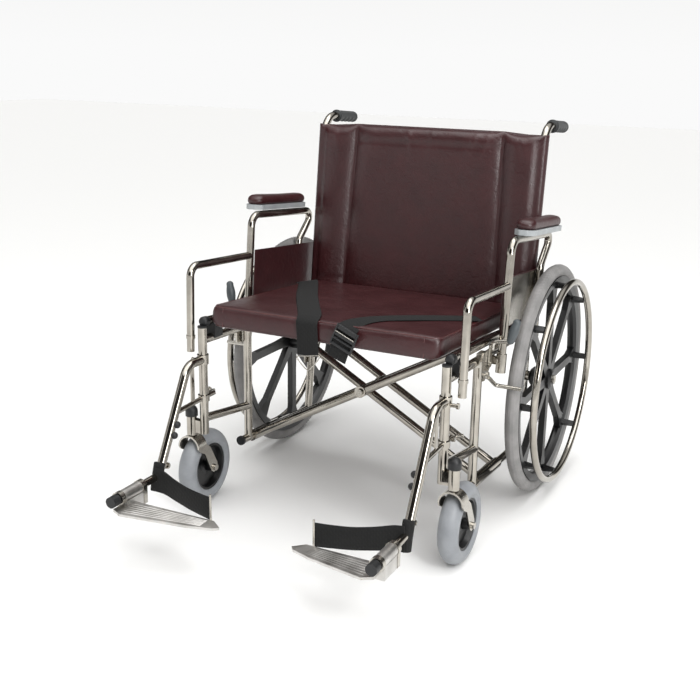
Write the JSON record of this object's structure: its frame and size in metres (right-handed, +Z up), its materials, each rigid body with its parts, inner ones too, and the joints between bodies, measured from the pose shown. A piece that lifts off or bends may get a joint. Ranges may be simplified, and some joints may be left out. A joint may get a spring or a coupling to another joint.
{
  "type": "manual wheelchair",
  "caption": "Folding manual wheelchair with chromed tube frame, burgundy upholstery, spoked rear wheels with handrims, swivel casters, lift-off arms and swing-away footrests.",
  "frame": {"origin": "on the floor at the centre of the chair's overall box", "axes": "+Z up, -Y the way the sitter faces, +X the sitter's left"},
  "size_m": [0.89, 1.236, 0.969],
  "materials": {
    "chrome_tube": "polished chrome plate on steel tube",
    "chrome_plate": "chrome plated steel plate and rod",
    "bright_fastener": "zinc plated steel",
    "black_plastic": "moulded black plastic",
    "grip_rubber": "ribbed black rubber",
    "grey_tyre": "non-marking grey rubber, dotted tread",
    "caster_tyre": "smooth grey solid tyre",
    "wheel_nylon": "glass-filled nylon, satin",
    "footplate_metal": "ribbed cast aluminium",
    "black_webbing": "woven polyester webbing",
    "panel_vinyl": "vinyl on a stiff board",
    "grey_plastic": "moulded light grey plastic",
    "burgundy_vinyl": "grained burgundy vinyl"
  },
  "bodies": {
    "frame_right": {"side_frame_right": "chrome_tube", "frame_caps_right": "black_plastic", "push_grip_right": "grip_rubber", "rear_axle_right": "bright_fastener", "lock_bracket_right": "chrome_plate"},
    "frame_left": {"side_frame_left": "chrome_tube", "frame_caps_left": "black_plastic", "push_grip_left": "grip_rubber", "rear_axle_left": "bright_fastener", "lock_bracket_left": "chrome_plate"},
    "wheel_left": {"rear_tyre_left": "grey_tyre", "mag_wheel_left": "wheel_nylon", "handrim_left": "chrome_tube"},
    "fork_left": {"caster_fork_left": "chrome_plate"},
    "caster_left": {"caster_tyre_left": "caster_tyre", "caster_hub_left": "wheel_nylon"},
    "hanger_left": {"hanger_left": "chrome_tube", "hanger_bumpers_left": "black_plastic"},
    "latch_left": {"hanger_latch_left": "bright_fastener"},
    "leg_left": {"leg_tube_left": "chrome_tube", "leg_cap_left": "black_plastic"},
    "footplate_mount_left": {"footplate_collars_left": "chrome_plate"},
    "footplate_left": {"footplate_left": "footplate_metal", "heel_loop_left": "black_webbing"},
    "arm_left": {"arm_frame_left": "chrome_tube", "side_panel_left": "panel_vinyl", "arm_pad_base_left": "grey_plastic", "arm_pad_left": "burgundy_vinyl"},
    "lock_lever_left": {"lock_lever_left": "chrome_plate"},
    "lock_shoe_left": {"lock_shoe_left": "chrome_plate"},
    "wheel_right": {"rear_tyre_right": "grey_tyre", "mag_wheel_right": "wheel_nylon", "handrim_right": "chrome_tube"},
    "fork_right": {"caster_fork_right": "chrome_plate"},
    "caster_right": {"caster_tyre_right": "caster_tyre", "caster_hub_right": "wheel_nylon"},
    "hanger_right": {"hanger_right": "chrome_tube", "hanger_bumpers_right": "black_plastic"},
    "latch_right": {"hanger_latch_right": "bright_fastener"},
    "leg_right": {"leg_tube_right": "chrome_tube", "leg_cap_right": "black_plastic"},
    "footplate_mount_right": {"footplate_collars_right": "chrome_plate"},
    "footplate_right": {"footplate_right": "footplate_metal", "heel_loop_right": "black_webbing"},
    "arm_right": {"arm_frame_right": "chrome_tube", "side_panel_right": "panel_vinyl", "arm_pad_base_right": "grey_plastic", "arm_pad_right": "burgundy_vinyl"},
    "lock_lever_right": {"lock_lever_right": "chrome_plate"},
    "lock_shoe_right": {"lock_shoe_right": "chrome_plate"},
    "cross_frame_a": {"cross_frame_a": "chrome_tube", "cross_bolts": "bright_fastener"},
    "cross_frame_b": {"cross_frame_b": "chrome_tube"},
    "seat_left": {"seat_left": "burgundy_vinyl", "lap_belt_left": "black_webbing"},
    "back_left": {"back_left": "burgundy_vinyl"},
    "seat_right": {"seat_right": "burgundy_vinyl", "lap_belt_right": "black_webbing"},
    "back_right": {"back_right": "burgundy_vinyl"}
  },
  "joints": [
    {"name": "fold", "type": "hinge", "parent": "frame_right", "child": "cross_frame_a", "pos_m": [-0.32, -0.078, 0.127], "axis": [0, -0.9976, 0.0698], "range_deg": [0, 48.57], "deforming": ["seat_left", "seat_right", "back_left", "back_right", "lap_belt_left", "lap_belt_right"]},
    {"name": "cross_pivot", "type": "hinge", "parent": "cross_frame_a", "child": "cross_frame_b", "pos_m": [0, -0.00674, 0.29817], "axis": [0, 0.9976, -0.0698], "range_deg": [0, 97.14]},
    {"name": "left_rail_pivot", "type": "hinge", "parent": "cross_frame_b", "child": "frame_left", "pos_m": [0.32, -0.078, 0.127], "axis": [0, -0.9976, 0.0698], "range_deg": [0, 48.57]},
    {"name": "seat_left_hinge", "type": "hinge", "parent": "cross_frame_a", "child": "seat_left", "pos_m": [0.323, -0.236, 0.492], "axis": [0, 0.9976, -0.0698], "range_deg": [0, 125.97]},
    {"name": "seat_crease", "type": "hinge", "parent": "seat_left", "child": "seat_right", "pos_m": [0, -0.236, 0.48144], "axis": [0, -0.9976, 0.0698], "range_deg": [0, 154.8]},
    {"name": "back_right_hinge", "type": "hinge", "parent": "frame_right", "child": "back_right", "pos_m": [-0.32, 0.29, 0.098], "axis": [0, 0.1088, 0.9941], "range_deg": [0, 78.04]},
    {"name": "back_crease", "type": "hinge", "parent": "back_right", "child": "back_left", "pos_m": [0, 0.27608, 0.09952], "axis": [0, -0.1088, -0.9941], "range_deg": [0, 156.08]},
    {"name": "wheel_spin_left", "type": "hinge", "parent": "frame_left", "child": "wheel_left", "pos_m": [0.389, 0.313, 0.305], "axis": [1, 0, 0], "continuous": true},
    {"name": "caster_swivel_left", "type": "hinge", "parent": "frame_left", "child": "fork_left", "pos_m": [0.352, -0.258, 0.2], "axis": [0, 0, 1], "continuous": true},
    {"name": "caster_spin_left", "type": "hinge", "parent": "fork_left", "child": "caster_left", "pos_m": [0.352, -0.207, 0.097], "axis": [1, 0, 0], "continuous": true},
    {"name": "hanger_swing_left", "type": "hinge", "parent": "frame_left", "child": "hanger_left", "pos_m": [0.32, -0.249, 0.4], "axis": [0, 0, 1], "range_deg": [0, 90]},
    {"name": "hanger_latch_left", "type": "hinge", "parent": "hanger_left", "child": "latch_left", "pos_m": [0.33, -0.215, 0.3], "axis": [-1, 0, 0], "range_deg": [0, 20], "stiffness_Nm_per_rad": 0.3, "springref_deg": -11.46},
    {"name": "leg_length_left", "type": "slide", "parent": "hanger_left", "child": "leg_left", "axis": [0, -0.4703, -0.8825], "range_m": [0, 0.06]},
    {"name": "footplate_lift_left", "type": "hinge", "parent": "leg_left", "child": "footplate_mount_left", "pos_m": [0.32, -0.4423, 0.163], "axis": [0, 1, 0], "range_deg": [0, 90]},
    {"name": "footplate_flip_left", "type": "hinge", "parent": "footplate_mount_left", "child": "footplate_left", "pos_m": [0.32, -0.4423, 0.163], "axis": [0, -1, 0], "range_deg": [-90, 0]},
    {"name": "arm_removal_left", "type": "slide", "parent": "frame_left", "child": "arm_left", "axis": [0, 0.0928, 0.9957], "range_m": [0, 0.1]},
    {"name": "lock_lever_left", "type": "hinge", "parent": "frame_left", "child": "lock_lever_left", "pos_m": [0.34, -0.024, 0.43], "axis": [1, 0, 0], "range_deg": [0, 40]},
    {"name": "lock_shoe_left", "type": "hinge", "parent": "frame_left", "child": "lock_shoe_left", "pos_m": [0.3455, -0.052, 0.408], "axis": [1, 0, 0], "range_deg": [0, 8.8]},
    {"name": "wheel_spin_right", "type": "hinge", "parent": "frame_right", "child": "wheel_right", "pos_m": [-0.389, 0.313, 0.305], "axis": [1, 0, 0], "continuous": true},
    {"name": "caster_swivel_right", "type": "hinge", "parent": "frame_right", "child": "fork_right", "pos_m": [-0.352, -0.258, 0.2], "axis": [0, 0, 1], "continuous": true},
    {"name": "caster_spin_right", "type": "hinge", "parent": "fork_right", "child": "caster_right", "pos_m": [-0.352, -0.207, 0.097], "axis": [1, 0, 0], "continuous": true},
    {"name": "hanger_swing_right", "type": "hinge", "parent": "frame_right", "child": "hanger_right", "pos_m": [-0.32, -0.249, 0.4], "axis": [0, 0, -1], "range_deg": [0, 90]},
    {"name": "hanger_latch_right", "type": "hinge", "parent": "hanger_right", "child": "latch_right", "pos_m": [-0.33, -0.215, 0.3], "axis": [-1, 0, 0], "range_deg": [0, 20], "stiffness_Nm_per_rad": 0.3, "springref_deg": -11.46},
    {"name": "leg_length_right", "type": "slide", "parent": "hanger_right", "child": "leg_right", "axis": [0, -0.4703, -0.8825], "range_m": [0, 0.06]},
    {"name": "footplate_lift_right", "type": "hinge", "parent": "leg_right", "child": "footplate_mount_right", "pos_m": [-0.32, -0.4423, 0.163], "axis": [0, -1, 0], "range_deg": [0, 90]},
    {"name": "footplate_flip_right", "type": "hinge", "parent": "footplate_mount_right", "child": "footplate_right", "pos_m": [-0.32, -0.4423, 0.163], "axis": [0, 1, 0], "range_deg": [-90, 0]},
    {"name": "arm_removal_right", "type": "slide", "parent": "frame_right", "child": "arm_right", "axis": [0, 0.0928, 0.9957], "range_m": [0, 0.1]},
    {"name": "lock_lever_right", "type": "hinge", "parent": "frame_right", "child": "lock_lever_right", "pos_m": [-0.34, -0.024, 0.43], "axis": [1, 0, 0], "range_deg": [0, 40]},
    {"name": "lock_shoe_right", "type": "hinge", "parent": "frame_right", "child": "lock_shoe_right", "pos_m": [-0.3455, -0.052, 0.408], "axis": [1, 0, 0], "range_deg": [0, 8.8]}
  ],
  "couplings": [
    {"joint": "cross_pivot", "follows": "fold", "ratio": 2},
    {"joint": "left_rail_pivot", "follows": "fold", "ratio": 1},
    {"joint": "seat_left_hinge", "follows": "fold", "ratio": 2.5935},
    {"joint": "seat_crease", "follows": "fold", "ratio": 3.1871},
    {"joint": "back_right_hinge", "follows": "fold", "ratio": 1.6068},
    {"joint": "back_crease", "follows": "fold", "ratio": 3.2136},
    {"joint": "footplate_lift_left", "follows": "fold", "ratio": 1.853},
    {"joint": "lock_shoe_left", "follows": "lock_lever_left", "ratio": 0.22},
    {"joint": "footplate_lift_right", "follows": "fold", "ratio": 1.853},
    {"joint": "lock_shoe_right", "follows": "lock_lever_right", "ratio": 0.22}
  ]
}
